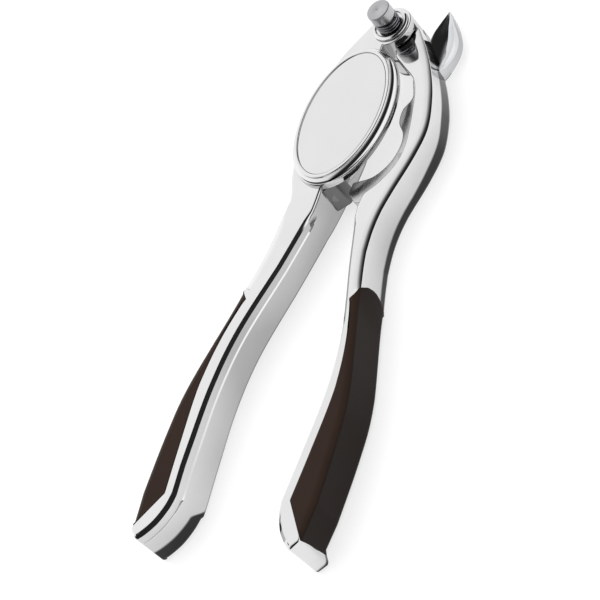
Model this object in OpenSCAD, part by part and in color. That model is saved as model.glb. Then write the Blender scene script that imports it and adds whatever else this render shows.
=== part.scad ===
// Hinged nutcracker with a lap joint, an oval pressure drum on the left arm, a curved
// toothed jaw and a rear claw on the right arm, and a sprung push knob on the pivot.
// The tool lies on its back: Z = 0 is the resting plane, +Z is the pivot axis, the
// pivot axis passes through the origin and the handles run along -Y.

/* [Handles] */
// Distance from the pivot axis to the handle tips
handle_length = 173.5; // [150:0.5:210]
// Depth of the handles, from the resting plane to their front faces
arm_depth = 15.5; // [14:0.5:20]
// Distance from the pivot axis to the narrow waist below the jaws
waist_y = 68; // [64:1:74]
// Gap from the middle plane to the inner face at the waist
waist_in = 9.2; // [8:0.2:14]
// Width of a handle at the waist
waist_w = 7.2; // [6:0.2:10]
// Gap from the middle plane to the inner face at the belly
belly_in = 20.1; // [16:0.1:26]
// Width of a handle at the belly
belly_w = 9.2; // [8:0.2:12]
// Gap from the middle plane to the inner face at the nose corner
nose_in = 18.1; // [14:0.1:24]
// Width of a handle at the nose corner
nose_w = 12.2; // [11:0.2:15]
// Length of the slanted nose at the end of each handle
nose_l = 14.5; // [12:0.5:18]

/* [Grips] */
// Distance from the pivot axis to the top of the grips
grip_top = 93.5; // [88:0.5:100]
// Width of the metal lip beside the grip at its top
lip_top = 2.2; // [1.6:0.2:3]
// Width of the metal lip beside the grip at its widest
lip_w = 3.7; // [3:0.1:4.2]
// Depth of the tongue that carries the grip
tongue_d = 5; // [3:0.5:7]
// Height of the tongue into the grip
tongue_h = 2.2; // [1.2:0.2:2.6]
// Diameter of the grip pegs
peg_d = 1.6; // [1:0.1:2]

/* [Pivot] */
// Diameter of the sliding pivot pin
pin_d = 6; // [5:0.2:6.6]
// Outer diameter of the bearing bush
bush_d = 8; // [7.6:0.1:9.6]
// Radial running clearance of the pin and of the arm on the bush
run_gap = 0.05; // [0.02:0.01:0.1]
// Radius of the eye on each arm
eye_r = 7; // [6.4:0.1:8]
// Height of the top of the lower eye
lap_z = 7.4; // [6:0.2:8]
// Free space between surfaces that pass over each other
slip_gap = 0.3; // [0.2:0.05:0.5]
// Thickness of the thrust washer between the eyes
washer_t = 0.5; // [0.4:0.1:0.8]
// Travel of the push knob
knob_travel = 2; // [1:0.2:2.4]

/* [Knob] */
// Diameter of the knob
knob_d = 7.7; // [7:0.1:9]
// Height of the knob
knob_h = 3.9; // [3:0.1:6]
// Free height of the knob spring above the seat ring
spring_h = 3.2; // [2.6:0.1:5]
// Wire diameter of the knob spring
wire_d = 0.6; // [0.5:0.05:0.8]
// Turns of the knob spring
spring_turns = 3; // [2:1:4]
// Diameter of the raised seat ring
seat_d = 12; // [11:0.2:13]
// Height of the raised seat ring
seat_h = 1; // [0.6:0.1:1.6]

/* [Drum] */
// Length of the oval drum
drum_l = 48; // [40:0.5:58]
// Width of the oval drum
drum_w = 31; // [26:0.5:34]
// Thickness of the drum body
drum_t = 3.6; // [3:0.1:5]
// Gap between the seat ring and the top of the drum
drum_gap = 3; // [2:0.5:6]
// Distance of the drum centre left of the pivot axis
drum_x = 5.2; // [4:0.1:8]
// Turn of the long axis of the drum
drum_turn = 3.5; // [0:0.5:8]
// Width of the polished bezel
bezel_w = 1.7; // [1.2:0.1:3]
// Height of the bezel above the drum body
bezel_h = 0.9; // [0.6:0.1:1.4]
// Recess of the face plate below the bezel
plate_drop = 0.2; // [0.1:0.05:0.4]

/* [Jaw] */
// Drop of the right head's front face below the handle face
head_drop = 2; // [1.6:0.1:4]
// Height of the jaw insert
jaw_h = 9.5; // [6:0.5:10]
// Height of the jaw insert above the resting plane
jaw_z = 2; // [1:0.5:3]
// Depth of the groove that holds the jaw insert
jaw_root = 2.4; // [1.6:0.2:2.8]
// Diameter of the jaw rivets
rivet_d = 1.8; // [1.2:0.1:2]
// Thickness of the rear claw
claw_t = 5; // [3:0.5:7]
// Diameter of the claw screws
claw_screw_d = 2.6; // [2:0.1:3]

/* [Stop] */
// Height of the stop block
stop_h = 11; // [8:0.5:11]
// Diameter of the stop plug
plug_d = 3; // [2:0.1:3.2]

/* [Hidden] */
// How far the root line of the jaw insert already lies in the arm
jaw_lead = 2.4;
$fn = 64;
eps = 0.01;
past = 1;           // how far a cutter runs past the face it cuts
seat_gap = 0.02;    // clearance of a part pressed or glued into its seat
far = 400;          // larger than the whole tool

chrome = "gainsboro";
steel = "silver";
grip_colour = "#3a2a25";

head_z = arm_depth - head_drop;           // front face of the right head
tab_z = lap_z + washer_t + slip_gap;      // underside of the left tab
tab_top = arm_depth + 1;                  // front face of the left tab
drum_z = head_z + slip_gap + 0.2;         // underside of the drum
drum_top = drum_z + drum_t;
drum_y = seat_d / 2 + drum_gap + drum_l / 2;
bore_r = bush_d / 2 + run_gap;            // bore of the lower eye
clip_t = 0.8;
clip_gap = 0.1;
cap_t = 0.8;                              // thickness of the rear cap
cap_r = bush_d / 2 + 1.2;                 // radius of the counterbore and its cap
seat_z = tab_top + seat_h;
knob_z = seat_z + spring_h;
cap_gap = 0.5;                            // left between the pressed pin and the cap
pin_z = cap_t + cap_gap + knob_travel;    // rear end of the pin
pin_lip = 0.4;                            // pin left behind the clip
clip_z = pin_z + pin_lip;                 // underside of the clip
bush_z = clip_z + clip_t + clip_gap;      // rear end of the bush
groove_r = pin_d / 2 - 0.6;               // pin radius in the clip's groove
spigot_r = pin_d / 2 - 1;                 // pin radius inside the knob
spigot_h = knob_h * 0.6;

// ---- curves -------------------------------------------------------------------------
function blend4(a, b, c, d, t) =
  0.5 * (2 * b + (c - a) * t + (2 * a - 5 * b + 4 * c - d) * t * t
  + (3 * b - a - 3 * c + d) * t * t * t);
// A smooth curve through the points p, with n steps between neighbours
function curve(p, n = 4) = concat(
  [for (i = [0 : len(p) - 2]) for (k = [0 : n - 1])
    blend4(p[max(i - 1, 0)], p[i], p[i + 1], p[min(i + 2, len(p) - 1)], k / n)],
  [p[len(p) - 1]]);
function back(p) = [for (i = [len(p) - 1 : -1 : 0]) p[i]];
function arc(r, a0, a1, n) = [for (k = [0 : n]) r * [cos(a0 + (a1 - a0) * k / n),
  sin(a0 + (a1 - a0) * k / n)]];
function lerp(a, b, t) = a + (b - a) * t;

// ---- handle stations ----------------------------------------------------------------
nose_y = handle_length - nose_l;
belly_y = lerp(waist_y, nose_y, 0.62);
waist_out = waist_in + waist_w;
belly_out = belly_in + belly_w - 1;
nose_out = nose_in + nose_w;
handle_inner = [[waist_in, -waist_y],
  [lerp(waist_in, belly_in, 0.34), -lerp(waist_y, belly_y, 0.28)],
  [lerp(waist_in, belly_in, 0.86), -lerp(waist_y, belly_y, 0.68)],
  [belly_in, -belly_y],
  [lerp(belly_in, nose_in, 0.45), -lerp(belly_y, nose_y, 0.55)],
  [nose_in, -nose_y]];
handle_outer = [[waist_out, -waist_y],
  [lerp(waist_out, belly_out, 0.12), -lerp(waist_y, belly_y, 0.24)],
  [lerp(waist_out, belly_out, 0.48), -lerp(waist_y, belly_y, 0.56)],
  [belly_out, -belly_y],
  [lerp(belly_out, nose_out, 0.8), -lerp(belly_y, nose_y, 0.45)],
  [nose_out, -nose_y]];
tip = [nose_out - 3.6, -handle_length];
nose_edge = [[nose_in, -nose_y], [nose_in + 0.8, -nose_y - nose_l * 0.28],
  [nose_in + 3, -nose_y - nose_l * 0.61], [nose_in + 6, -nose_y - nose_l * 0.86], tip];
heel = [nose_out - 1, -handle_length + 3.1];

// ---- head outlines of the right arm ---------------------------------------------------
jaw_edge = [[9.4, -59.6], [13.6, -55.6], [17.3, -49.2], [18.2, -43], [17.4, -36],
  [16.3, -30], [15, -24], [12.6, -18.6], [7.9, -14.1], [3.6, -9.8], [2.2, -7.4]];
head_back = [[4.9, 4.9], [9, -0.6], [13.4, -7.6], [17.8, -15.8], [21.6, -25.6], [24, -37],
  [22.7, -47], [19.5, -58.5]];
neck_out = [[19.5, -58.5], [17.8, -65.7], [17.2, -72.6], [17.3, -78]];

// ---- head outlines of the left arm ----------------------------------------------------
left_back = [[-15.7, -61], [-18.4, -52.5], [-19.6, -43], [-19.2, -28], [-16.4, -14.2],
  [-12.8, -6.6], [-6.6, 2.2]];
left_front = [[-0.5, -6.9], [-0.6, -9.5], [0.4, -17], [2.4, -26], [3, -37], [0.6, -47],
  [-4, -56], [-7, -60]];
left_rear_back = [[-15.7, -61], [-18.4, -52.5], [-19.6, -43], [-19.2, -28], [-17, -16]];
left_rear_front = [[-10, -17], [-5.5, -26], [-4.5, -38], [-5.6, -50], [-7.2, -60]];

// ---- jaw insert -----------------------------------------------------------------------
bite = [[11, -17.6], [13.1, -24], [11.1, -28.2], [11.4, -33], [14.1, -37.2], [14.6, -42],
  [12.8, -47.6], [8.6, -52], [2.2, -53.8]];
tooth = [[2, -57.6], [5.2, -61]];

// ---- shared shapes ----------------------------------------------------------------------
module drum_oval(grow = 0) {
  translate([-drum_x, -drum_y]) rotate([0, 0, -drum_turn])
    polygon([for (k = [0 : 95]) [(drum_w / 2 + grow) * cos(k * 3.75),
      (drum_l / 2 + grow) * sin(k * 3.75)]]);
}
module slab(z0, z1) {
  translate([0, 0, z0]) linear_extrude(height = z1 - z0) children();
}
module tube(r_out, r_in, z0, z1) {
  difference() {
    translate([0, 0, z0]) cylinder(r = r_out, h = z1 - z0);
    translate([0, 0, z0 - past]) cylinder(r = r_in, h = z1 - z0 + 2 * past);
  }
}

// Plan outline of one handle, on the right side
module handle_plan() {
  polygon(concat(curve(handle_inner), curve(nose_edge, 3), [heel],
    back(curve(handle_outer))));
}
// Edge between the metal lip and the grip, from the top of the grip to the heel
function lip_at(y) = lerp(lip_top, lip_w, min(1, (y - grip_top) / (belly_y - grip_top)));
function on_inner(p) = p + [lip_at(-p[1]), 0];
grip_edge = [for (p = curve(handle_inner)) if (-p[1] > grip_top + 3) on_inner(p)];
grip_corner = [grip_edge[0][0] - 0.7, -grip_top - 2.4];
module grip_plan() {
  intersection() {
    handle_plan();
    polygon(concat([[nose_out + 9, -grip_top + 1.2],
      [grip_corner[0] + 3.4, -grip_top], grip_corner], grip_edge,
      [heel + [-0.6, 1.2], heel + [9, 1.2]]));
  }
}
// Plan of the tongue: the grip's inner edge pushed into the grip, short of both ends
module tongue_plan(grow = 0) {
  run = [for (p = grip_edge) if (-p[1] > grip_top + 8 && -p[1] < nose_y - 5) p];
  polygon(concat([for (p = run) p + [-0.5, 0]],
    back([for (p = run) p + [tongue_h + grow, 0]])));
}
module grip_pegs_at() {
  for (t = [0.25, 0.75])
    let (run = [for (p = grip_edge) if (-p[1] > grip_top + 10 && -p[1] < nose_y - 7) p],
      p = run[floor(t * (len(run) - 1))])
      translate([p[0] + tongue_h / 2, p[1], 0]) children();
}
tongue_z = (arm_depth - tongue_d) / 2;
peg_l = tongue_d + 4;

// The metal of one handle: the full plan less the grip, plus the tongue
module handle_metal() {
  difference() {
    union() {
      difference() {
        slab(0, arm_depth) handle_plan();
        slab(-past, arm_depth + past) grip_plan();
      }
      slab(tongue_z, tongue_z + tongue_d) tongue_plan();
    }
    grip_pegs_at() translate([0, 0, tongue_z - past])
      cylinder(d = peg_d + 2 * seat_gap, h = tongue_d + 2 * past);
  }
}
module grip() {
  difference() {
    slab(0, arm_depth) grip_plan();
    slab(tongue_z - seat_gap, tongue_z + tongue_d + seat_gap) tongue_plan(seat_gap);
    grip_pegs_at() translate([0, 0, (arm_depth - peg_l) / 2 - seat_gap])
      cylinder(d = peg_d + 2 * seat_gap, h = peg_l + 2 * seat_gap);
  }
}
module grip_pegs() {
  grip_pegs_at() translate([0, 0, (arm_depth - peg_l) / 2]) cylinder(d = peg_d, h = peg_l);
}

// ---- left arm -------------------------------------------------------------------------
module left_arm() {
  color(chrome) difference() {
    union() {
      mirror([1, 0, 0]) handle_metal();
      slab(0, arm_depth) polygon([[-waist_in, -waist_y], [-waist_in + 1.6, -62.5],
        [-7, -60], [-7.2, -58], [-17, -57], [-15.7, -61], [-waist_out + 0.8, -65],
        [-waist_out, -waist_y]]);
      slab(0, tab_z) polygon(concat(curve(left_rear_back), curve(left_rear_front)));
      slab(tab_z - eps, arm_depth) polygon(concat(curve(left_back), curve(left_front)));
      slab(tab_z, tab_top) circle(r = eye_r);
      slab(arm_depth - eps, tab_top) intersection() {
        polygon(concat(curve(left_back), curve(left_front)));
        translate([-far / 2, -drum_y]) square([far, far]);
      }
    }
    slab(drum_z - seat_gap, tab_top + past) drum_oval(seat_gap);
    translate([0, 0, tab_z - past]) cylinder(d = bush_d, h = far);
    drum_screws_at() translate([0, 0, drum_z - screw_l - seat_gap])
      cylinder(r = screw_r + seat_gap, h = far);
    stop_seat();
  }
}

// ---- right arm ------------------------------------------------------------------------
module right_arm() {
  color(chrome) difference() {
    union() {
      handle_metal();
      slab(0, arm_depth) polygon(concat([[waist_out - 3, -78], [waist_in, -waist_y],
        [9, -64], [9.4, -59.6]], curve(neck_out)));
      slab(0, head_z) polygon(concat([[9.4, -59.6]], curve(jaw_edge),
        arc(eye_r, -72, -275, 24), [[4.9, 4.9]], curve(head_back)));
    }
    translate([0, 0, lap_z]) cylinder(r = eye_r + 2 * slip_gap, h = far);
    translate([0, 0, -past]) cylinder(r = bore_r, h = far);
    translate([0, 0, -past]) cylinder(r = cap_r, h = bush_z + past);
    slab(jaw_z - seat_gap, jaw_z + jaw_h + seat_gap) jaw_plan(seat_gap);
    jaw_rivets_at() translate([0, 0, -past]) cylinder(d = rivet_d + 2 * seat_gap, h = far / 10);
    claw_screws_at() translate([0, 0, -past]) cylinder(d = claw_screw_d + 2 * seat_gap,
      h = claw_z + claw_t + 5 + past);
    slab(claw_z - seat_gap, claw_z + claw_t + seat_gap) claw_plan(seat_gap);
  }
}

// ---- grips ------------------------------------------------------------------------------
module left_grip() { color(grip_colour) mirror([1, 0, 0]) grip(); }
module right_grip() { color(grip_colour) grip(); }
module left_grip_pegs() { color(steel) mirror([1, 0, 0]) grip_pegs(); }
module right_grip_pegs() { color(steel) grip_pegs(); }

// ---- pivot ------------------------------------------------------------------------------
module pivot_bush() {
  color(steel) tube(bush_d / 2, pin_d / 2 + run_gap, bush_z, tab_top);
}
module thrust_washer() {
  color(steel) tube(eye_r - 0.6, bore_r, lap_z, lap_z + washer_t);
}
module seat_ring() {
  color(chrome) tube(seat_d / 2, pin_d / 2 + slip_gap, tab_top, seat_z);
}
module pivot_pin() {
  color(steel) difference() {
    union() {
      translate([0, 0, pin_z]) cylinder(d = pin_d, h = knob_z - pin_z);
      translate([0, 0, knob_z - eps]) cylinder(r = spigot_r, h = spigot_h + eps);
    }
    tube(pin_d, groove_r, clip_z - seat_gap, clip_z + clip_t + seat_gap);
  }
}
module push_knob() {
  color(steel) difference() {
    translate([0, 0, knob_z]) cylinder(d = knob_d, h = knob_h);
    translate([0, 0, knob_z - past]) cylinder(r = spigot_r + seat_gap,
      h = spigot_h + seat_gap + past);
  }
}
module retaining_clip() {
  color(steel) difference() {
    tube(bush_d / 2 + 0.6, groove_r + seat_gap, clip_z, clip_z + clip_t);
    translate([0, -groove_r * 0.8, clip_z - past])
      cube([bush_d, groove_r * 1.6, clip_t + 2 * past]);
  }
}
module rear_cap() { color(chrome) cylinder(r = cap_r - seat_gap, h = cap_t); }
// Coil of round wire: rings joined by a helix, drawn as stacked tori
module knob_spring() {
  coil_r = (knob_d / 2 + pin_d / 2) / 2 + 0.12;
  pitch = (spring_h - wire_d) / spring_turns;
  sides = 8;
  per_turn = 24;
  count = spring_turns * per_turn;
  function ring(i) = [for (j = [0 : sides - 1])
    let (a = 360 * i / per_turn, b = 360 * j / sides, r = coil_r + wire_d / 2 * cos(b))
      [r * cos(a), r * sin(a),
        seat_z + wire_d / 2 + pitch * i / per_turn + wire_d / 2 * sin(b)]];
  points = [for (i = [0 : count]) each ring(i)];
  faces = concat([[for (j = [0 : sides - 1]) j]],
    [for (i = [0 : count - 1]) for (j = [0 : sides - 1])
      let (a = i * sides + j, b = i * sides + (j + 1) % sides)
        [a, a + sides, b + sides, b]],
    [[for (j = [sides - 1 : -1 : 0]) count * sides + j]]);
  color(steel) polyhedron(points, faces);
}

// ---- drum -------------------------------------------------------------------------------
screw_r = 1.5;
screw_l = 4.5;
// How far down from the pivot the stop block begins
stop_top = 50.4;
// The lower screw stays clear of the stop block however long the drum is
screw_pitch = min(drum_l / 2, 2 * (stop_top - drum_y - screw_r - 1));
module drum_screws_at() {
  translate([-drum_x, -drum_y, 0]) rotate([0, 0, -drum_turn])
    for (s = [-1, 1]) translate([-4, s * screw_pitch / 2, 0]) children();
}
module drum_body() {
  color(chrome) difference() {
    slab(drum_z, drum_top) drum_oval();
    drum_screws_at() translate([0, 0, drum_z - past])
      cylinder(r = screw_r + seat_gap, h = drum_t);
  }
}
module drum_bezel() {
  color(chrome) difference() {
    slab(drum_top, drum_top + bezel_h) drum_oval();
    slab(drum_top - past, drum_top + bezel_h + past) drum_oval(-bezel_w);
  }
}
module drum_plate() {
  color("white") slab(drum_top, drum_top + bezel_h - plate_drop)
    drum_oval(-bezel_w - seat_gap);
}
module drum_screws() {
  color(steel) drum_screws_at() translate([0, 0, drum_z - screw_l])
    cylinder(r = screw_r, h = screw_l + drum_t - past - 0.2);
}

// ---- jaw insert ---------------------------------------------------------------------------
module jaw_plan(grow = 0) {
  root = [[12, -57.5], [16.4, -52.6], [19.6, -46], [20.2, -39], [19.2, -31], [17.6, -24],
    [15, -17.4]];
  deep = [for (p = root) p + [jaw_root - jaw_lead + grow, 0]];
  polygon(concat([[11, -17.6] + [0, grow], [13, -16.6] + [0, grow]], back(curve(deep, 3)),
    [[9.8, -60.6] + [grow, -grow]], back(tooth), back(curve(bite, 3))));
}
module jaw_rivets_at() {
  for (p = [[17.2, -46], [15.4, -24.2]]) translate([p[0], p[1], 0]) children();
}
module jaw_insert() {
  color(steel) difference() {
    slab(jaw_z, jaw_z + jaw_h) jaw_plan();
    jaw_rivets_at() cylinder(d = rivet_d + 2 * seat_gap, h = far);
  }
}
module jaw_rivets() {
  color(steel) jaw_rivets_at() translate([0, 0, 0.4]) cylinder(d = rivet_d, h = head_z - 0.8);
}

// ---- claw -----------------------------------------------------------------------------------
claw_z = 1.5;
module claw_plan(grow = 0) {
  outer = [[9.8, 13.1], [13.4, 9], [16.4, 4.4], [18.2, 0.2], [18.6, -4.4], [17.6, -9.8],
    [16.4, -13]];
  inner = [[12.6, -15], [9.8, -10.4], [7.9, -6], [7.5, -1.6], [7.9, 2.4], [8.7, 7.6]];
  polygon(concat(curve(outer, 4), curve(inner, 4)));
}
module claw_screws_at() {
  for (p = [[10, -5.2], [13, -11]]) translate([p[0], p[1], 0]) children();
}
module claw() {
  color(steel) difference() {
    slab(claw_z, claw_z + claw_t) claw_plan();
    claw_screws_at() cylinder(d = claw_screw_d + 2 * seat_gap, h = far);
  }
}
module claw_screws() {
  color(steel) claw_screws_at() translate([0, 0, 0.3]) cylinder(d = claw_screw_d,
    h = claw_z + claw_t + 4);
}

// ---- stop -------------------------------------------------------------------------------------
stop_z = drum_z - seat_gap - stop_h;
module stop_plan(grow = 0) {
  polygon([[-9.4 - grow, -58.6 - grow], [-6, -58.2 - grow], [-2.4 + grow, -55.6 - grow],
    [-1.6 + grow, -52 + grow], [-9.4 - grow, -stop_top + grow]]);
}
module stop_seat() { slab(stop_z - seat_gap, stop_z + stop_h + seat_gap) stop_plan(seat_gap); }
module stop_hole(r, l) {
  translate([-4.2, -56.9, stop_z + stop_h / 2]) rotate([0, 0, 36]) rotate([-90, 0, 0])
    cylinder(r = r, h = l);
}
module stop_block() {
  color(steel) difference() {
    slab(stop_z, stop_z + stop_h) stop_plan();
    stop_hole(plug_d / 2 + seat_gap, 3 + seat_gap);
  }
}
module stop_plug() { color("gray") stop_hole(plug_d / 2, 3); }

left_arm();
right_arm();
left_grip();
right_grip();
left_grip_pegs();
right_grip_pegs();
pivot_bush();
thrust_washer();
seat_ring();
pivot_pin();
push_knob();
retaining_clip();
knob_spring();
rear_cap();
drum_body();
drum_bezel();
drum_plate();
drum_screws();
jaw_insert();
jaw_rivets();
claw();
claw_screws();
stop_block();
stop_plug();
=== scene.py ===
"""A chromed nutcracker with dark grips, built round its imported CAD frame.

Everything is in the frame's own place: the tool lies on its back on Z = 0, the pivot
axis is Z through the origin and the handles run along -Y. Lengths here are millimetres
until a mesh is made.
"""
import math

import bmesh
import bpy
import numpy as np
from bpy.props import FloatProperty, FloatVectorProperty, IntProperty, PointerProperty
from mathutils import Matrix, Vector
from mathutils.geometry import delaunay_2d_cdt


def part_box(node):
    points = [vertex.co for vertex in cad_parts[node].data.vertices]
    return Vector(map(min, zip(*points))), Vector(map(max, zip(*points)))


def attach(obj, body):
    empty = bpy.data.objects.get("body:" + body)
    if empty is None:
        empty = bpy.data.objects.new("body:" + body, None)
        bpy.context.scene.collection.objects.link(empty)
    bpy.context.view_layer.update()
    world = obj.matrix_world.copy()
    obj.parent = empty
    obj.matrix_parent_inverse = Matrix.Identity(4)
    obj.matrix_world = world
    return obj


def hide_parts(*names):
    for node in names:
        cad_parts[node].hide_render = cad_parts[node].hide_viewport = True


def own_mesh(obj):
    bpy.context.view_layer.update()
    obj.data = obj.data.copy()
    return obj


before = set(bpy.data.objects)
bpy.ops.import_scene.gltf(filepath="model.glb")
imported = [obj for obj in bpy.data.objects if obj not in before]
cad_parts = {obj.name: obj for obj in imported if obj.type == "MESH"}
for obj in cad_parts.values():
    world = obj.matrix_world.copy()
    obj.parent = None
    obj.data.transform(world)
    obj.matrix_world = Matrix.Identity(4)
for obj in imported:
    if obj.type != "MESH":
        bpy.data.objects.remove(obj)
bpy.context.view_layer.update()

bl_info = {
    "name": "Nutcracker",
    "version": (1, 0, 0),
    "blender": (4, 5, 0),
    "location": "View3D > Sidebar > Nutcracker",
    "description": "Builds the chromed arms, grips, drum, jaw, claw and knob of a nutcracker",
    "category": "Add Mesh",
}

MM = 0.001


def top_of(node):
    """Height of the highest point of a CAD node, in millimetres."""
    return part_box(node)[1][2] / MM


def bottom_of(node):
    """Height of the lowest point of a CAD node, in millimetres."""
    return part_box(node)[0][2] / MM


DEPTH = top_of("left_grip")  # front faces of the handles
TAB_TOP = top_of("pivot_bush")  # front face of the left eye
HANDLE = -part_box("left_arm")[0][1] / MM  # pivot to the handle tips
LAP = bottom_of("thrust_washer")  # top of the lower eye
DRUM_LOW, DRUM_TOP = bottom_of("drum_body"), top_of("drum_body")
BEZEL_TOP = top_of("drum_bezel")
EYE_R = 7.0
EYE_LOW = 8.2  # underside of the left eye
EYE_HOLE_R = 4.0
RECESS_R = 7.6  # round pocket in the right arm, under the left eye


# ---- plane geometry ---------------------------------------------------------------------
def lerp(a, b, t):
    """The value a share t of the way from a to b."""
    return a + (b - a) * t


def spline(points, n=10):
    """Catmull-Rom curve through the points, n steps between neighbours."""
    p = [np.array(q, float) for q in points]
    out = []
    for i in range(len(p) - 1):
        a, b, c, d = p[max(i - 1, 0)], p[i], p[i + 1], p[min(i + 2, len(p) - 1)]
        for t in np.arange(n) / n:
            out.append(0.5 * (2 * b + (c - a) * t + (2 * a - 5 * b + 4 * c - d) * t * t
                              + (3 * b - a - 3 * c + d) * t ** 3))
    return np.array(out + [p[-1]])


def arc(radius, start, end, n=40):
    """Points on an arc about the pivot between two angles in degrees."""
    a = np.radians(np.linspace(start, end, n + 1))
    return np.stack([radius * np.cos(a), radius * np.sin(a)], 1)


def even(points, step=0.6):
    """The same open path with points a fixed step apart."""
    p = np.asarray(points, float)
    run = np.concatenate([[0], np.cumsum(np.hypot(*np.diff(p, axis=0).T))])
    n = max(2, int(round(run[-1] / step)) + 1)
    s = np.linspace(0, run[-1], n)
    return np.stack([np.interp(s, run, p[:, k]) for k in (0, 1)], 1)


def trimmed(points, start, end):
    """The path less a length at each end."""
    p = np.asarray(points, float)
    run = np.concatenate([[0], np.cumsum(np.hypot(*np.diff(p, axis=0).T))])
    s = np.concatenate([[start], run[(run > start) & (run < run[-1] - end)], [run[-1] - end]])
    return np.stack([np.interp(s, run, p[:, k]) for k in (0, 1)], 1)


def ring_of(spans, corners, radii, step=0.6):
    """One closed outline from spans that meet end to end. corners holds how far each
    junction (after span i) is rounded; radii holds each span's edge values, see slab.
    Returns the points and an array of the edge values at each point."""
    points, edges = [], []
    radii = [tuple(r) + (0.0,) * (6 - len(r)) for r in radii]
    count = len(spans)
    for i, span in enumerate(spans):
        cut = even(trimmed(span, corners[i - 1], corners[i]), step)
        points.append(cut)
        edges.append(np.tile(radii[i], (len(cut), 1)))
        nxt = spans[(i + 1) % count]
        if corners[i] > 0:
            a = cut[-1]
            b = np.asarray(span[-1], float)
            c = trimmed(nxt, corners[i], 0)[0]
            t = np.arange(1, 7)[:, None] / 7
            points.append((1 - t) ** 2 * a + 2 * t * (1 - t) * b + t * t * c)
            edges.append((1 - t) * np.array(radii[i]) + t * np.array(radii[(i + 1) % count]))
    p, e = np.concatenate(points), np.concatenate(edges)
    keep = np.hypot(*(p - np.roll(p, 1, 0)).T) > 1e-3
    p, e = p[keep], e[keep]
    area = np.sum(p[:, 0] * np.roll(p[:, 1], -1) - np.roll(p[:, 0], -1) * p[:, 1])
    if area < 0:
        p, e = p[::-1], e[::-1]
    for _ in range(6):  # radii change gently along the edge
        e = (np.roll(e, 2, 0) + 2 * e + np.roll(e, -2, 0)) / 4
    return p, e


def inward(p):
    """Unit normals of a closed outline that point into it, longer at its corners."""
    t = np.roll(p, -1, 0) - np.roll(p, 1, 0)
    t /= np.hypot(*t.T)[:, None]
    n = np.stack([-t[:, 1], t[:, 0]], 1)
    edge = p - np.roll(p, 1, 0)
    edge /= np.hypot(*edge.T)[:, None]
    cos_half = np.abs(np.sum(edge * t, 1))
    return n / np.clip(cos_half, 0.75, 1)[:, None]


def unlooped(row, window=70):
    """A closed row of points with its small crossed loops drawn together."""
    p = row[:, :2]
    n = len(p)
    for _ in range(4):
        d = np.roll(p, -1, 0) - p
        hits = []
        for step in range(2, window):
            q, e = np.roll(p, -step, 0), np.roll(d, -step, 0)
            cross = d[:, 0] * e[:, 1] - d[:, 1] * e[:, 0]
            cross = np.where(np.abs(cross) < 1e-12, 1e-12, cross)
            gap = q - p
            t = (gap[:, 0] * e[:, 1] - gap[:, 1] * e[:, 0]) / cross
            u = (gap[:, 0] * d[:, 1] - gap[:, 1] * d[:, 0]) / cross
            hits += [(step, i, t[i]) for i in np.nonzero((t > 1e-9) & (t < 1) & (u > 1e-9)
                                                         & (u < 1))[0]]
        if not hits:
            break
        for step, i, t in sorted(hits, reverse=True)[:1]:
            inner = [(i + k) % n for k in range(1, step + 1)]
            row[inner, :2] = p[i] + t * d[i]
            row[inner, 2] = row[i, 2]
    return row


# ---- meshes -----------------------------------------------------------------------------
def piece(name, parts):
    """A mesh object from lists of (vertices in mm, faces), joined."""
    verts, faces = [], []
    for v, f in parts:
        faces += [[k + len(verts) for k in face] for face in f]
        verts += [tuple(np.array(p) * MM) for p in v]
    mesh = bpy.data.meshes.new(name)
    mesh.from_pydata(verts, [], faces)
    mesh.update()
    obj = bpy.data.objects.new(name, mesh)
    bpy.context.scene.collection.objects.link(obj)
    return obj


GROOVE = ((4.75, 0.0), (4.6, 0.0), (4.1, 0.42), (3.75, 0.0))  # below the front face, inset


def loft(rows, closed_ends=True):
    """Quads between closed rows of points that run from the back to the front."""
    n = len(rows[0])
    verts = np.concatenate(rows)
    faces = []
    for r in range(len(rows) - 1):
        for i in range(n):
            j = (i + 1) % n
            faces.append([r * n + i, r * n + j, (r + 1) * n + j, (r + 1) * n + i])
    verts = verts.tolist()
    if closed_ends:
        for row in (rows[0], rows[-1]):
            flat = delaunay_2d_cdt([Vector(q[:2]) for q in row], [], [list(range(n))], 1, 1e-6)
            faces += [[v + len(verts) for v in face] for face in flat[2]]
            verts += [(q[0], q[1], row[int(np.argmin(np.hypot(row[:, 0] - q[0],
                                                             row[:, 1] - q[1])))][2])
                      for q in flat[0]]
    return verts, faces


SUPPORT = 0.2  # flat strip kept beside each rounded edge, so that the faces shade flat
CROWN_SLOPE = 0.56  # slope of a crowned face where it meets its ridge
CROWN_STEPS = (0.12, 0.25, 0.4, 0.55, 0.7, 0.85, 1.0)


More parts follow.
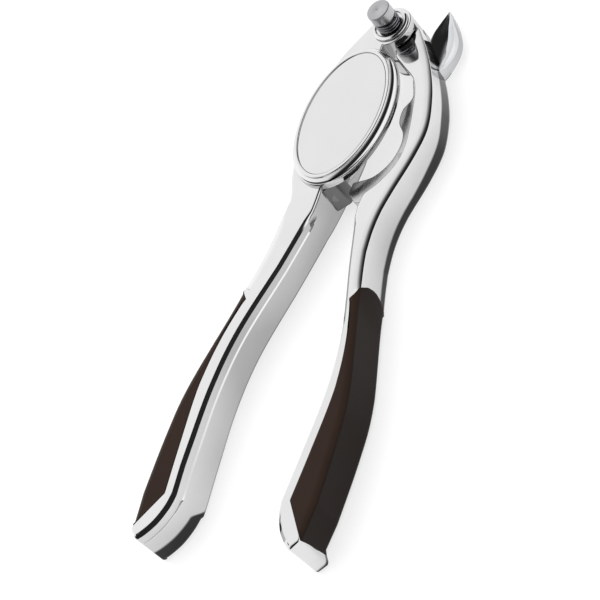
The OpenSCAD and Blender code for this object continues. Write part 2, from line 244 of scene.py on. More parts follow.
def slab(p, edges, z_back, z_front, steps=7):
    """A plate with its outline p and flat faces. Each point has its own front edge radius,
    back edge radius, lean (how far the wall comes in at the back), crown (how wide the
    front face curves down to its edge), groove (0 or 1, where a fine groove runs along the
    wall) and bevel (1 where the front edge is cut flat, not rounded). z_back and z_front
    are numbers or functions of the points."""
    n = inward(p)
    zf = z_front(p) if callable(z_front) else np.full(len(p), float(z_front))
    zb = z_back(p) if callable(z_back) else np.full(len(p), float(z_back))
    front, back, lean, crown, groove, bevel = edges.T
    fall = crown * CROWN_SLOPE / 2

    def row(inset, z):
        tilt = lean * np.clip((zf - z) / (zf - zb), 0, 1)
        return np.column_stack([p + n * (inset + tilt)[:, None], z])

    rows = [row(back + SUPPORT, zb)]
    for t in np.linspace(np.pi / 2, 0, steps):
        rows.append(row(back * (1 - np.cos(t)), zb + back * (1 - np.sin(t))))
    rows.append(row(0 * zf, zb + back + SUPPORT))
    for share in (0.15, 0.35, 0.55, 0.75):
        rows.append(row(groove * GROOVE[0][1] * share, zb + back + SUPPORT + share * (
            zf - GROOVE[0][0] - zb - back - SUPPORT)))
    for down, inset in GROOVE:
        rows.append(row(groove * inset, zf - down))
    rows.append(row(0 * zf, zf - fall - front - SUPPORT))
    last = np.where(crown > 0.05, np.arctan(1 / CROWN_SLOPE), np.pi / 2)
    for t in np.linspace(0, 1, steps):
        rows.append(row(front * lerp(1 - np.cos(t * last), t, bevel),
                        zf - fall - front * lerp(1 - np.sin(t * last), 0.85 * (1 - t), bevel)))
    edge = front * (1 - np.cos(last))
    for share in CROWN_STEPS:
        rows.append(row(edge + crown * share, zf - fall * (1 - share) ** 2
                        - front * (1 - np.sin(last)) * (1 - share)))
    rows.append(row(edge + crown + SUPPORT, zf))
    return loft([unlooped(r) for r in rows])


def lathe(profile, n=96):
    """A solid of revolution about the pivot axis from (radius, height) points, bottom to top. A
    profile that comes back to its first point makes a ring."""
    prof = [np.array(q, float) for q in profile]
    ring = np.allclose(prof[0], prof[-1])
    if ring:
        prof = prof[:-1]
    a = np.linspace(0, 2 * np.pi, n, endpoint=False)
    verts, faces = [], []
    index = []
    for r, z in prof:
        if r < 1e-6:
            index.append([len(verts)] * n)
            verts.append((0, 0, z))
        else:
            index.append(list(range(len(verts), len(verts) + n)))
            verts += [(r * math.cos(t), r * math.sin(t), z) for t in a]
    pairs = list(zip(index, index[1:] + ([index[0]] if ring else [])))
    for lo, hi in pairs[: len(index) if ring else len(index) - 1]:
        for i in range(n):
            j = (i + 1) % n
            face = [lo[i], lo[j], hi[j], hi[i]]
            faces.append([v for k, v in enumerate(face) if v not in face[:k]])
    return verts, faces


def rounded_profile(points, radius, n=5):
    """An open (radius, height) profile with each inner corner rounded."""
    p = [np.array(q, float) for q in points]
    out = [p[0]]
    for a, b, c in zip(p, p[1:], p[2:]):
        u, v = a - b, c - b
        r = min(radius, 0.45 * np.linalg.norm(u), 0.45 * np.linalg.norm(v))
        u, v = b + u / np.linalg.norm(u) * r, b + v / np.linalg.norm(v) * r
        for t in np.linspace(0, 1, n):
            out.append((1 - t) ** 2 * u + 2 * t * (1 - t) * b + t * t * v)
    return out + [p[-1]]


def finish_mesh(obj, angle=32.0):
    """Merges doubles, points the faces outwards and shades smooth between sharp edges."""
    work = bmesh.new()
    work.from_mesh(obj.data)
    bmesh.ops.remove_doubles(work, verts=work.verts, dist=1e-6)
    bmesh.ops.recalc_face_normals(work, faces=work.faces)
    work.to_mesh(obj.data)
    work.free()
    obj.data.shade_smooth()
    obj.data.set_sharp_from_angle(angle=math.radians(angle))
    return obj


def bake_modifiers(obj):
    """Gives the object the plain mesh that its modifiers make."""
    bpy.context.view_layer.update()
    seen = obj.evaluated_get(bpy.context.evaluated_depsgraph_get())
    made = bpy.data.meshes.new_from_object(seen)
    obj.modifiers.clear()
    obj.data = made


def combine(obj, others, operation="DIFFERENCE"):
    """Subtracts the others from obj, or joins them to it, and deletes them."""
    for cutter in others:
        finish_mesh(cutter)
        mod = obj.modifiers.new("cut", "BOOLEAN")
        mod.operation = operation
        mod.solver = "EXACT"
        mod.object = cutter
    bake_modifiers(obj)
    for cutter in others:
        bpy.data.objects.remove(cutter)
    return finish_mesh(obj)


def cylinder(name, r, z0, z1):
    """A cylinder about the pivot axis."""
    return piece(name, [lathe([(0, z0), (r, z0), (r, z1), (0, z1)])])


def dress(obj, body, material, replaces=()):
    """Gives a finished piece its material, body, slot and the nodes that it stands for."""
    obj.data.materials.clear()
    obj.data.materials.append(material)
    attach(obj, body)
    if replaces:
        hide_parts(*replaces)
    return obj


def mirrored(points):
    """The points on the other side of the tool."""
    return np.asarray(points, float) * (-1, 1)


# ---- outlines of the handles --------------------------------------------------------------
WAIST_Y, WAIST_IN, WAIST_OUT = 68.0, 9.2, 16.4
NOSE_Y, NOSE_IN, NOSE_OUT = HANDLE - 14.5, 18.1, 30.3
BELLY_Y, BELLY_IN, BELLY_OUT = lerp(WAIST_Y, NOSE_Y, 0.62), 20.1, 28.3
HANDLE_INNER = spline([
    (WAIST_IN, -WAIST_Y),
    (lerp(WAIST_IN, BELLY_IN, 0.34), -lerp(WAIST_Y, BELLY_Y, 0.28)),
    (lerp(WAIST_IN, BELLY_IN, 0.86), -lerp(WAIST_Y, BELLY_Y, 0.68)),
    (BELLY_IN, -BELLY_Y),
    (lerp(BELLY_IN, NOSE_IN, 0.45), -lerp(BELLY_Y, NOSE_Y, 0.55)),
    (NOSE_IN, -NOSE_Y)])
HANDLE_OUTER = spline([
    (WAIST_OUT, -WAIST_Y),
    (lerp(WAIST_OUT, BELLY_OUT, 0.12), -lerp(WAIST_Y, BELLY_Y, 0.24)),
    (lerp(WAIST_OUT, BELLY_OUT, 0.48), -lerp(WAIST_Y, BELLY_Y, 0.56)),
    (BELLY_OUT, -BELLY_Y),
    (lerp(BELLY_OUT, NOSE_OUT, 0.8), -lerp(BELLY_Y, NOSE_Y, 0.45)),
    (NOSE_OUT, -NOSE_Y)])
TIP = (NOSE_OUT - 3.6, -HANDLE)
NOSE = spline([(NOSE_IN, -NOSE_Y), (NOSE_IN + 0.8, -NOSE_Y - 4.06), (NOSE_IN + 3, -NOSE_Y - 8.85),
               (NOSE_IN + 6, -NOSE_Y - 12.5), TIP])
HEEL = (NOSE_OUT - 1, -HANDLE + 3.1)
GRIP_TOP = 93.5
LIP_TOP, LIP_WIDE = 2.2, 3.7


def lip_edge():
    """Where the metal lip meets the grip, from the grip's top down to the nose corner."""
    p = HANDLE_INNER[-HANDLE_INNER[:, 1] > GRIP_TOP + 3]
    share = np.clip((-p[:, 1] - GRIP_TOP) / (BELLY_Y - GRIP_TOP), 0, 1)
    return p + np.stack([lerp(LIP_TOP, LIP_WIDE, share), 0 * share], 1)


LIP = lip_edge()
GRIP_CORNER = (LIP[0][0] - 0.7, -GRIP_TOP - 2.4)
GRIP_FOOT = (HEEL[0] - 0.6, HEEL[1] + 1.2)
GRIP_SHOULDER = (float(np.interp(GRIP_TOP - 1.0, -HANDLE_OUTER[:, 1], HANDLE_OUTER[:, 0])),
                 -GRIP_TOP + 1.0)
OUTER_ABOVE = HANDLE_OUTER[-HANDLE_OUTER[:, 1] < GRIP_TOP - 1.0]
OUTER_BESIDE = HANDLE_OUTER[-HANDLE_OUTER[:, 1] > GRIP_TOP - 1.0]

FINE = (0.25, 0.25)
RIDGE = (0.3, 1.4, 0.0, 2.6)  # front radius, back radius, lean, crown
INNER = (1.15, 0.9, 0.0, 0.0, 1.0, 1.0)  # grooved and bevelled
NOSE_EDGE = (1.25, 1.6, 0.6, 0.0, 0.4, 1.0)


def handle_spans():
    """The metal handle's outline from the foot of the grip up its outer side to the
    waist, and from the waist down its inner side round the nose."""
    up = [
        ([HEEL, GRIP_FOOT], 0.2, FINE),
        ([GRIP_FOOT] + [tuple(q) for q in LIP[::-1]] + [GRIP_CORNER], 0.2, FINE),
        ([GRIP_CORNER, (GRIP_CORNER[0] + 1.6, -GRIP_TOP - 0.4), GRIP_SHOULDER], 0.2, FINE),
        ([GRIP_SHOULDER] + [tuple(q) for q in OUTER_ABOVE[::-1]], 0.0, RIDGE),
    ]
    down = [
        (HANDLE_INNER, 0.5, INNER),
        (NOSE, 0.9, NOSE_EDGE),
        ([TIP, HEEL], 0.9, (0.8, 1.2)),
    ]
    return up, down


def outline(spans, flip=False):
    """The ring of (path, corner, edge values) spans, mirrored to the left if flip is set."""
    paths = [mirrored(s[0]) if flip else np.asarray(s[0], float) for s in spans]
    return ring_of(paths, [s[1] for s in spans], [s[2] for s in spans])


def plate(name, spans, z_back, z_front, steps=7, shape=None):
    """A finished slab object from its outline spans. shape may change the edge values."""
    p, edges = outline(spans)
    if shape:
        shape(p, edges)
    return finish_mesh(piece(name, [slab(p, edges, z_back, z_front, steps)]))


# ---- materials ----------------------------------------------------------------------------
def linear(hex_colour):
    """An sRGB hex colour as linear RGBA."""
    c = np.array([int(hex_colour[k:k + 2], 16) for k in (1, 3, 5)]) / 255
    c = np.where(c <= 0.04045, c / 12.92, ((c + 0.055) / 1.055) ** 2.4)
    return (*c.tolist(), 1.0)


def node(tree, kind, settings=None, links=None):
    """Adds a node. settings go on its properties or sockets, with "stops" as a ramp's
    (place, grey level) pairs in order; links maps its input sockets to (node, output) pairs."""
    made = tree.nodes.new(kind)
    for key, value in (settings or {}).items():
        if key == "stops":
            ramp = made.color_ramp.elements
            ramp[0].position, ramp[1].position = value[0][0], value[-1][0]
            for at, level in value[1:-1]:
                ramp.new(at)
            for stop, (at, level) in zip(ramp, value):
                stop.color = (level, level, level, 1)
        elif isinstance(key, str) and hasattr(made, key):
            setattr(made, key, value)
        else:
            made.inputs[key].default_value = value
    for key, (source, output) in (links or {}).items():
        tree.links.new(source.outputs[output], made.inputs[key])
    return made


def new_material(name):
    """An empty material, its node tree and its shader."""
    mat = bpy.data.materials.new(name)
    mat.use_nodes = True
    tree = mat.node_tree
    tree.nodes.clear()
    out = tree.nodes.new("ShaderNodeOutputMaterial")
    shader = tree.nodes.new("ShaderNodeBsdfPrincipled")
    tree.links.new(shader.outputs[0], out.inputs[0])
    return mat, tree, shader


# Painted shade: how much of the metal's brightness is kept, by how far a surface faces down (-1)
# or up (1); the rounded back edges, which face partly down, are painted dark
PAINTED_EDGE_SHADE = ((-1.0, 1.0), (-0.97, 1.0), (-0.93, 0.12), (-0.34, 0.07), (-0.24, 1.0), (1.0, 1.0))
# How far up the upright walls shade is painted, as (millimetres down from the pivot, millimetres
# up from the back). The next line gives the ranges of the two.
PAINTED_WALL_SHADE_LEFT = ((-15, 1.5), (0, 1.5), (60, 0.9), (157, 0.7), (161, 5.2), (175, 6.0))
PAINTED_WALL_SHADE_RIGHT = ((-15, 6.0), (0, 8.5), (30, 7.0), (55, 4.4), (92, 3.2), (175, 1.5))
PAINTED_WALL_SHADE_SPAN, PAINTED_WALL_SHADE_MOST = (-20.0, 180.0), 10.0


def painted_wall_shade_height(tree, down, reach):
    """The height in metres that the painted shade reaches at each place along an arm."""
    stops = [((at - PAINTED_WALL_SHADE_SPAN[0]) / (PAINTED_WALL_SHADE_SPAN[1] - PAINTED_WALL_SHADE_SPAN[0]), z / PAINTED_WALL_SHADE_MOST)
             for at, z in reach]
    ramp = node(tree, "ShaderNodeValToRGB", {"stops": stops}, {"Fac": (down, 0)})
    return node(tree, "ShaderNodeMath", {"operation": "MULTIPLY", 1: PAINTED_WALL_SHADE_MOST * MM},
                {0: (ramp, 0)})


def painted_wall_shade_mask(tree, co, facing):
    """1 on the metal and near 0 where shade is painted low on the upright walls."""
    place = node(tree, "ShaderNodeSeparateXYZ", {}, {0: (co, "Object")})
    down = node(tree, "ShaderNodeMapRange", {"From Min": -PAINTED_WALL_SHADE_SPAN[0] * MM,
                                             "From Max": -PAINTED_WALL_SHADE_SPAN[1] * MM},
                {"Value": (place, "Y")})
    side = node(tree, "ShaderNodeMath", {"operation": "GREATER_THAN", 1: 0.0}, {0: (place, "X")})
    height = node(tree, "ShaderNodeMix", {"data_type": "FLOAT"}, {
        0: (side, 0), 2: (painted_wall_shade_height(tree, down, PAINTED_WALL_SHADE_LEFT), 0),
        3: (painted_wall_shade_height(tree, down, PAINTED_WALL_SHADE_RIGHT), 0)})
    above = node(tree, "ShaderNodeMath", {"operation": "SUBTRACT"},
                 {0: (place, "Z"), 1: (height, 0)})
    # Painted shade: 0.06 below the shade line, 1 above it
    above_painted_shade = node(tree, "ShaderNodeMapRange", {"From Min": -0.4 * MM, "From Max": 0.4 * MM,
                                              "To Min": 0.06}, {"Value": (above, 0)})
    upright = node(tree, "ShaderNodeMath", {"operation": "COMPARE", 1: 0.0, 2: 0.7},
                   {0: (facing, "Z")})
    return node(tree, "ShaderNodeMix", {"data_type": "FLOAT", 2: 1.0},
                {0: (upright, 0), 3: (above_painted_shade, 0)})


def polished_metal(name, colour, dark, roughness, haze, bump, with_painted_shade=False):
    """Buffed metal. The eye sees a mirror with a faint ripple, faint haze left by the buffing
    wheel and a few hair scratches. Painted shade darkens the upright walls in slow random patches
    and the rounded edges that face partly down; the last argument adds painted shade low on the
    walls of the arms."""
    mat, tree, shader = new_material(name)
    co = node(tree, "ShaderNodeTexCoord")
    cloud = node(tree, "ShaderNodeTexNoise", {"Scale": 90.0, "Detail": 3.0},
                 {"Vector": (co, "Object")})
    tint = node(tree, "ShaderNodeMix", {"data_type": "RGBA", 6: linear(dark), 7: linear(colour)},
                {0: (cloud, 0)})
    turned = node(tree, "ShaderNodeNewGeometry")
    facing = node(tree, "ShaderNodeSeparateXYZ", {}, {0: (turned, "Normal")})
    height = node(tree, "ShaderNodeMapRange", {"From Min": -1.0}, {"Value": (facing, "Z")})
    # Painted shade: rounded edges that face partly down are darkened
    under = node(tree, "ShaderNodeValToRGB", {"stops": [((at + 1) / 2, v) for at, v in PAINTED_EDGE_SHADE]},
                 {"Fac": (height, 0)})
    drift = node(tree, "ShaderNodeTexNoise", {"Scale": 22.0, "Detail": 1.0},
                 {"Vector": (co, "Object")})
    # Painted shade: upright walls darker, down to 0.62, in slow random patches
    painted_wall_patches = node(tree, "ShaderNodeMapRange", {"From Min": 0.35, "From Max": 0.65, "To Min": 0.62},
                {"Value": (drift, 0)})
    upright = node(tree, "ShaderNodeMath", {"operation": "COMPARE", 1: 0.0, 2: 0.3},
                   {0: (facing, "Z")})
    walls = node(tree, "ShaderNodeMix", {"data_type": "RGBA", 6: (1, 1, 1, 1)},
                 {0: (upright, 0), 7: (painted_wall_patches, 0)})
    shade = node(tree, "ShaderNodeMix", {"data_type": "RGBA", "blend_type": "MULTIPLY", 0: 1.0},
                 {6: (tint, 2), 7: (under, 0)})
    toned = node(tree, "ShaderNodeMix", {"data_type": "RGBA", "blend_type": "MULTIPLY", 0: 1.0},
                 {6: (shade, 2), 7: (walls, 2)})
    # Painted shade low on the upright walls of the arms
    if with_painted_shade:
        toned = node(tree, "ShaderNodeMix", {"data_type": "RGBA", "blend_type": "MULTIPLY",
                                             0: 1.0},
                     {6: (toned, 2), 7: (painted_wall_shade_mask(tree, co, facing), 0)})
    tree.links.new(toned.outputs[2], shader.inputs["Base Color"])
    stretch = node(tree, "ShaderNodeMapping", {"Scale": (1500.0, 160.0, 1500.0),
                                               "Rotation": (0.0, 0.0, 0.2)},
                   {"Vector": (co, "Object")})
    hair = node(tree, "ShaderNodeTexNoise", {"Scale": 1.0, "Detail": 2.0},
                {"Vector": (stretch, 0)})
    rough = node(tree, "ShaderNodeMapRange", {"From Min": 0.3, "From Max": 0.75,
                                              "To Min": roughness, "To Max": roughness + haze},
                 {"Value": (hair, 0)})
    tree.links.new(rough.outputs[0], shader.inputs["Roughness"])
    wave = node(tree, "ShaderNodeTexNoise", {"Scale": 120.0, "Detail": 1.0},
                {"Vector": (co, "Object")})
    relief = node(tree, "ShaderNodeBump", {"Strength": 1.0, "Distance": bump * MM},
                  {"Height": (wave, 0)})
    tree.links.new(relief.outputs[0], shader.inputs["Normal"])
    shader.inputs["Metallic"].default_value = 1.0
    return mat


def turned_metal(name, colour, roughness):
    """A lathe-turned face: fine circular tool marks round the middle and a dot where the
    tool ran out, with the sides left plain."""
    mat, tree, shader = new_material(name)
    co = node(tree, "ShaderNodeTexCoord")
    rings = node(tree, "ShaderNodeTexWave", {"wave_type": "RINGS", "rings_direction": "Z",
                                             "Scale": 700.0, "Distortion": 0.4},
                 {"Vector": (co, "Object")})
    cloud = node(tree, "ShaderNodeTexNoise", {"Scale": 500.0, "Detail": 2.0},
                 {"Vector": (co, "Object")})
    blend = node(tree, "ShaderNodeMath", {"operation": "MULTIPLY"},
                 {0: (rings, 1), 1: (cloud, 0)})
    tint = node(tree, "ShaderNodeMix", {"data_type": "RGBA", 6: linear("#a9a9ab"),
                                        7: linear(colour)}, {0: (blend, 0)})
    tree.links.new(tint.outputs[2], shader.inputs["Base Color"])
    rough = node(tree, "ShaderNodeMapRange", {"To Min": roughness - 0.06,
                                              "To Max": roughness + 0.08}, {"Value": (cloud, 0)})
    tree.links.new(rough.outputs[0], shader.inputs["Roughness"])
    relief = node(tree, "ShaderNodeBump", {"Strength": 0.5, "Distance": 0.02 * MM},
                  {"Height": (rings, 1)})
    tree.links.new(relief.outputs[0], shader.inputs["Normal"])
    shader.inputs["Metallic"].default_value = 1.0
    shader.inputs["Anisotropic"].default_value = 0.5
    return mat


def moulded_grip(name, colour, lighter, roughness):
    """Soft-touch moulded polymer: a low sheen, a very fine spark-eroded grain, patches of a
    slightly lighter, redder brown, and painted shade that darkens the faces turning away from the
    front."""
    mat, tree, shader = new_material(name)
    co = node(tree, "ShaderNodeTexCoord")
    mottle = node(tree, "ShaderNodeTexNoise", {"Scale": 60.0, "Detail": 4.0},
                  {"Vector": (co, "Object")})
    grain = node(tree, "ShaderNodeTexNoise", {"Scale": 2600.0, "Detail": 2.0},
                 {"Vector": (co, "Object")})
    tint = node(tree, "ShaderNodeMix", {"data_type": "RGBA", 6: linear(colour),
                                        7: linear(lighter)}, {0: (mottle, 0)})
    turned = node(tree, "ShaderNodeNewGeometry")
    facing = node(tree, "ShaderNodeSeparateXYZ", {}, {0: (turned, "Normal")})
    # Painted shade: faces turned away from the front are darker, down to 0.42
    painted_side_shade = node(tree, "ShaderNodeMapRange", {"From Min": 0.15, "From Max": 0.85,
                                                "To Min": 0.42}, {"Value": (facing, "Z")})
    tone = node(tree, "ShaderNodeMix", {"data_type": "RGBA", "blend_type": "MULTIPLY", 0: 1.0},
                {6: (tint, 2), 7: (painted_side_shade, 0)})
    tree.links.new(tone.outputs[2], shader.inputs["Base Color"])
    rough = node(tree, "ShaderNodeMapRange", {"To Min": roughness - 0.05,
                                              "To Max": roughness + 0.07}, {"Value": (mottle, 0)})
    tree.links.new(rough.outputs[0], shader.inputs["Roughness"])
    relief = node(tree, "ShaderNodeBump", {"Strength": 0.35, "Distance": 0.03 * MM},
                  {"Height": (grain, 0)})
    tree.links.new(relief.outputs[0], shader.inputs["Normal"])
    shader.inputs["Specular IOR Level"].default_value = 0.06
    return mat


MATERIALS = {}


def material(key):
    """Each finish is made once, when the first piece asks for it."""
    if key not in MATERIALS:
        looks = bpy.context.scene.nutcracker_finish
        colour = "#%02x%02x%02x" % tuple(int(round(255 * v)) for v in looks.grip_colour)
        made = {
            "chrome": lambda: polished_metal("chrome plate", "#dedede", "#d6d6d6",
                                             looks.chrome_roughness, 0.03, 0.004, with_painted_shade=True),
            "face": lambda: polished_metal("lapped chrome face", "#dbdbdc", "#d5d5d6",
                                           0.12, 0.05, 0.002),
            "jaw": lambda: polished_metal("ground steel", "#cfcfcf", "#bababa", 0.16, 0.1, 0.006),
            "block": lambda: polished_metal("sintered steel", "#8f8f8f", "#7c7c7c",
                                            0.34, 0.1, 0.01),
            "claw": lambda: polished_metal("polished steel", "#d6d7d9", "#c3c5c8",
                                           0.1, 0.08, 0.006),
            "turned": lambda: turned_metal("turned steel", "#c4c4c5", 0.3),
            "satin": lambda: polished_metal("machined steel", "#b8babd", "#9fa1a4",
                                            0.25, 0.1, 0.008),
            "spring": lambda: polished_metal("spring wire", "#9a9b9e", "#7d7e82",
                                             0.22, 0.1, 0.004),
            "plug": lambda: polished_metal("pressed plug", "#9b9c9e", "#8b8c8e",
                                           0.3, 0.1, 0.004),
            "grip": lambda: moulded_grip("soft-touch grip", colour, "#32241d",
                                         looks.grip_roughness),
        }
        MATERIALS[key] = made[key]()
    return MATERIALS[key]


# ---- pieces -------------------------------------------------------------------------------
JAW_EDGE = [(9.4, -59.6), (13.6, -55.6), (17.3, -49.2), (18.2, -43), (17.4, -36), (16.3, -30),
            (15, -24), (12.6, -18.6), (7.9, -14.1), (3.6, -9.8), (2.16, -6.66)]
HEAD_BACK = [(4.95, 4.95), (9, -0.6), (13.4, -7.6), (17.8, -15.8), (21.6, -25.6), (24, -37),
             (22.7, -47), (19.5, -58.5), (17.8, -65.7), (17.2, -72.6), (17.5, -79.5)]
LEFT_BACK = [(-WAIST_OUT, -WAIST_Y), (-15.7, -61), (-18.4, -52.5), (-19.6, -43), (-19.2, -28),
             (-16.4, -14.2), (-12.8, -6.6), (-6.0, 3.6)]
LEFT_FRONT = [(-0.6, -6.97), (-0.6, -9.5), (0.4, -17), (2.4, -26), (3, -37), (0.6, -47),
              (-4, -56), (-7.6, -61.5), (-WAIST_IN, -WAIST_Y)]
LEFT_REAR_FRONT = [(-10, -17), (-5.5, -26), (-4.5, -38), (-5.6, -50), (-7.6, -61.5),
                   (-WAIST_IN, -WAIST_Y)]
HEAD_DROP = 2.0


def tilted_front(p):
    """The right arm's front face falls evenly from the tips to the pivot."""
    return DEPTH - HEAD_DROP * (1 + p[:, 1] / HANDLE)


def swell(p, edges):
    """The outer wall of the right head: upright at the pivot, leaning in behind the jaw,
    with a back edge that is roundest at the pivot."""
    outer = (edges[:, 3] > 0.3) & (p[:, 1] > -92)
    down = -p[:, 1]
    edges[:, 2] = np.where(outer, np.interp(down, (18, 26, 33, 40, 60, 67, 74, 82),
                                            (0, 0.2, 0.7, 1.2, 1.4, 0.9, 0.4, 0)), edges[:, 2])
    edges[:, 1] = np.where(outer, np.interp(down, (-5, 8, 25, 40, 60, 90),
                                            (3.6, 3.6, 2.6, 1.9, 1.5, 1.2)), edges[:, 1])


def make_right_arm():
    """The right casting: handle, curved head, rear eye, groove for the jaw and recess."""
    up, down = handle_spans()
    outer = OUTER_ABOVE[-OUTER_ABOVE[:, 1] > 80]
    up[3] = ([GRIP_SHOULDER] + [tuple(q) for q in outer[::-1]] + [HEAD_BACK[-1]], 0.0, RIDGE)
    head = spline(HEAD_BACK)
    arm = plate("right_arm_casting", up + [
        (head[::-1], 0.0, RIDGE),
        (arc(EYE_R, 45, 288), 0.4, (0.6, 0.6)),
        (spline(JAW_EDGE)[::-1], 0.9, (0.5, 1.0)),
        ([(9.4, -59.6), (8.9, -63.8), (WAIST_IN, -WAIST_Y)], 0.0, (0.6, 1.0)),
    ] + down, 0.0, tilted_front, shape=swell)
    recess = piece("recess", [lathe(rounded_profile(
        [(0, LAP), (RECESS_R, LAP), (RECESS_R, DEPTH - 2.3), (RECESS_R + 0.3, DEPTH - 1.9),
         (RECESS_R + 0.3, DEPTH + 2), (0, DEPTH + 2)], 0.25))])
    bore = cylinder("bore", 5.2, -1, 4.6)
    eye = cylinder("eye", 4.05, 4, LAP + 1)
    groove = plate("groove", [
        (spline([(11.6, -19.4), (14.6, -25), (16.2, -31), (17.0, -36), (17.7, -43), (16.4, -49.5),
                 (12.4, -55), (8.6, -58.4)]), 0.1, (0.05, 0.05)),
        ([(8.6, -58.4), (3, -50), (6, -24), (11.6, -19.4)], 0.1, (0.05, 0.05))], 1.9, 11.6)
    combine(arm, [recess, bore, eye, groove])
    return dress(arm, "right", material("chrome"), ["right_arm"])


def broaden(p, edges):
    """The left handle's front face is broader than its back near the waist, so its inner
    wall leans in."""
    inner = (edges[:, 5] > 0.02) | ((p[:, 0] > -13) & (p[:, 1] > -70) & (p[:, 1] < -48))
    extra = inner * np.interp(-p[:, 1], (50, 58, 66, 85, 110, 150), (0, 1.6, 3.3, 3.2, 2.0, 0))
    p[:, 0] += extra
    edges[:, 2] += extra


def make_left_arm():
    """The left casting: handle, head with a step for the other arm, front eye."""
    up, down = handle_spans()
    head = spline(LEFT_BACK)
    arm = plate("left_arm_casting", [(mirrored(s[0]), s[1], s[2]) for s in up] + [
        (head[:52], 0.0, (1.0, 1.6)),
        ([tuple(head[51]), (-12, -14.8)], 0.8, (0.6, 1.0)),
        ([(-12, -14.8)] + LEFT_REAR_FRONT[:1], 0.8, (0.6, 1.0)),
        (spline(LEFT_REAR_FRONT), 0.0, (1.0, 1.2)),
    ] + [(mirrored(s[0]), s[1], s[2]) for s in down], 0.0, DEPTH, shape=broaden)
    front = spline(LEFT_FRONT)
    left, right = int(np.argmax(head[:, 1] > -33)), int(np.argmax(front[:, 1] < -33))
    end = int(np.argmax(front[:, 1] < -54.5))
    # The upper eye runs down to a line under the drum; a shelf carries on from there
    eye_plate = plate("left_arm_eye", [
        (head[left:], 0.0, (1.0, 0.8)),
        (arc(EYE_R, 149, -95.5), 0.3, (0.5, 0.5)),
        (front[:right + 1], 0.3, (0.4, 0.8)),
        ([tuple(front[right]), tuple(head[left])], 0.3, (0.3, 0.3))], EYE_LOW, TAB_TOP)
    shelf = plate("left_arm_shelf", [
        (front[right - 4:end], 0.3, (0.3, 0.8)),
        ([tuple(front[end - 1]), (-12, -54.5), (-14, -33), tuple(front[right - 4])], 0.3,
         (0.2, 0.2))], EYE_LOW, DRUM_LOW - 0.05)
    combine(arm, [eye_plate, shelf], "UNION")
    combine(arm, [cylinder("hole", EYE_HOLE_R, 7, TAB_TOP + 1)])
    return dress(arm, "left", material("chrome"), ["left_arm"])


def make_grip(side):
    """The moulded half of the right (1) or left (-1) handle, domed at its upper end."""
    body = "right" if side > 0 else "left"
    spans = [
        ([GRIP_FOOT] + [tuple(q) for q in LIP[::-1]] + [GRIP_CORNER], 0.5, (0.3, 0.3)),
        ([GRIP_CORNER, (GRIP_CORNER[0] + 1.6, -GRIP_TOP - 0.4), GRIP_SHOULDER], 0.5, (0.4, 0.4)),
        ([GRIP_SHOULDER] + [tuple(q) for q in OUTER_BESIDE] + [HEEL], 0.3, (0.9, 2.0, 2.2, 1.6)),
        ([HEEL, GRIP_FOOT], 0.3, (0.4, 0.4)),
    ]
    p, edges = outline(spans, flip=side < 0)
    foot = np.clip((-p[:, 1] - 120) / (HANDLE - 125), 0, 1)
    edges[:, 2] *= foot  # leans in towards its foot
    grip = piece(body + "_grip_moulding", [slab(p, edges, 0.02, DEPTH - 0.02)])
    for v in grip.data.vertices:
        x, y, z = np.array(v.co) / MM
        outer = np.interp(-y, -HANDLE_OUTER[:, 1], HANDLE_OUTER[:, 0])
        near = np.clip((abs(x) - outer + 2.2) / 2.0, 0, 1)
        high = np.clip((y + GRIP_TOP + 7) / 7.5, 0, 1)
        dome = 1 - ((z - DEPTH / 2) / (DEPTH / 2)) ** 2
        v.co.y += 3.4 * MM * near * high ** 2 * max(dome, 0)
    finish_mesh(grip, 40)
    return dress(grip, body, material("grip"), [body + "_grip"])


DRUM_HALF = (15.5, 24.0)  # half width and half length
DRUM_TURN = -3.5  # degrees
OVAL_POINTS = 240


def oval(grow=0.0):
    """Outline of the drum, grown by a distance, as points."""
    lo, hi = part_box("drum_body")
    centre = (np.array(lo[:2]) + np.array(hi[:2])) / 2 / MM
    a = np.linspace(0, 2 * np.pi, OVAL_POINTS, endpoint=False)
    q = np.stack([(DRUM_HALF[0] + grow) * np.cos(a), (DRUM_HALF[1] + grow) * np.sin(a)], 1)
    t = math.radians(DRUM_TURN)
    turn = np.array([[math.cos(t), math.sin(t)], [-math.sin(t), math.cos(t)]])
    return q @ turn + centre


def oval_solid(profile):
    """A closed body whose sections are the drum's oval, from (grow, height) points."""
    return loft([np.column_stack([oval(g), np.full(OVAL_POINTS, z)]) for g, z in profile])


def oval_ring(profile):
    """A closed ring along the drum's oval; its section is the loop of (grow, height)."""
    rows = [np.column_stack([oval(g), np.full(OVAL_POINTS, z)]) for g, z in profile]
    verts, faces = loft(rows, closed_ends=False)
    last = (len(rows) - 1) * OVAL_POINTS
    for i in range(OVAL_POINTS):
        j = (i + 1) % OVAL_POINTS
        faces.append([last + i, last + j, j, i])
    return verts, faces


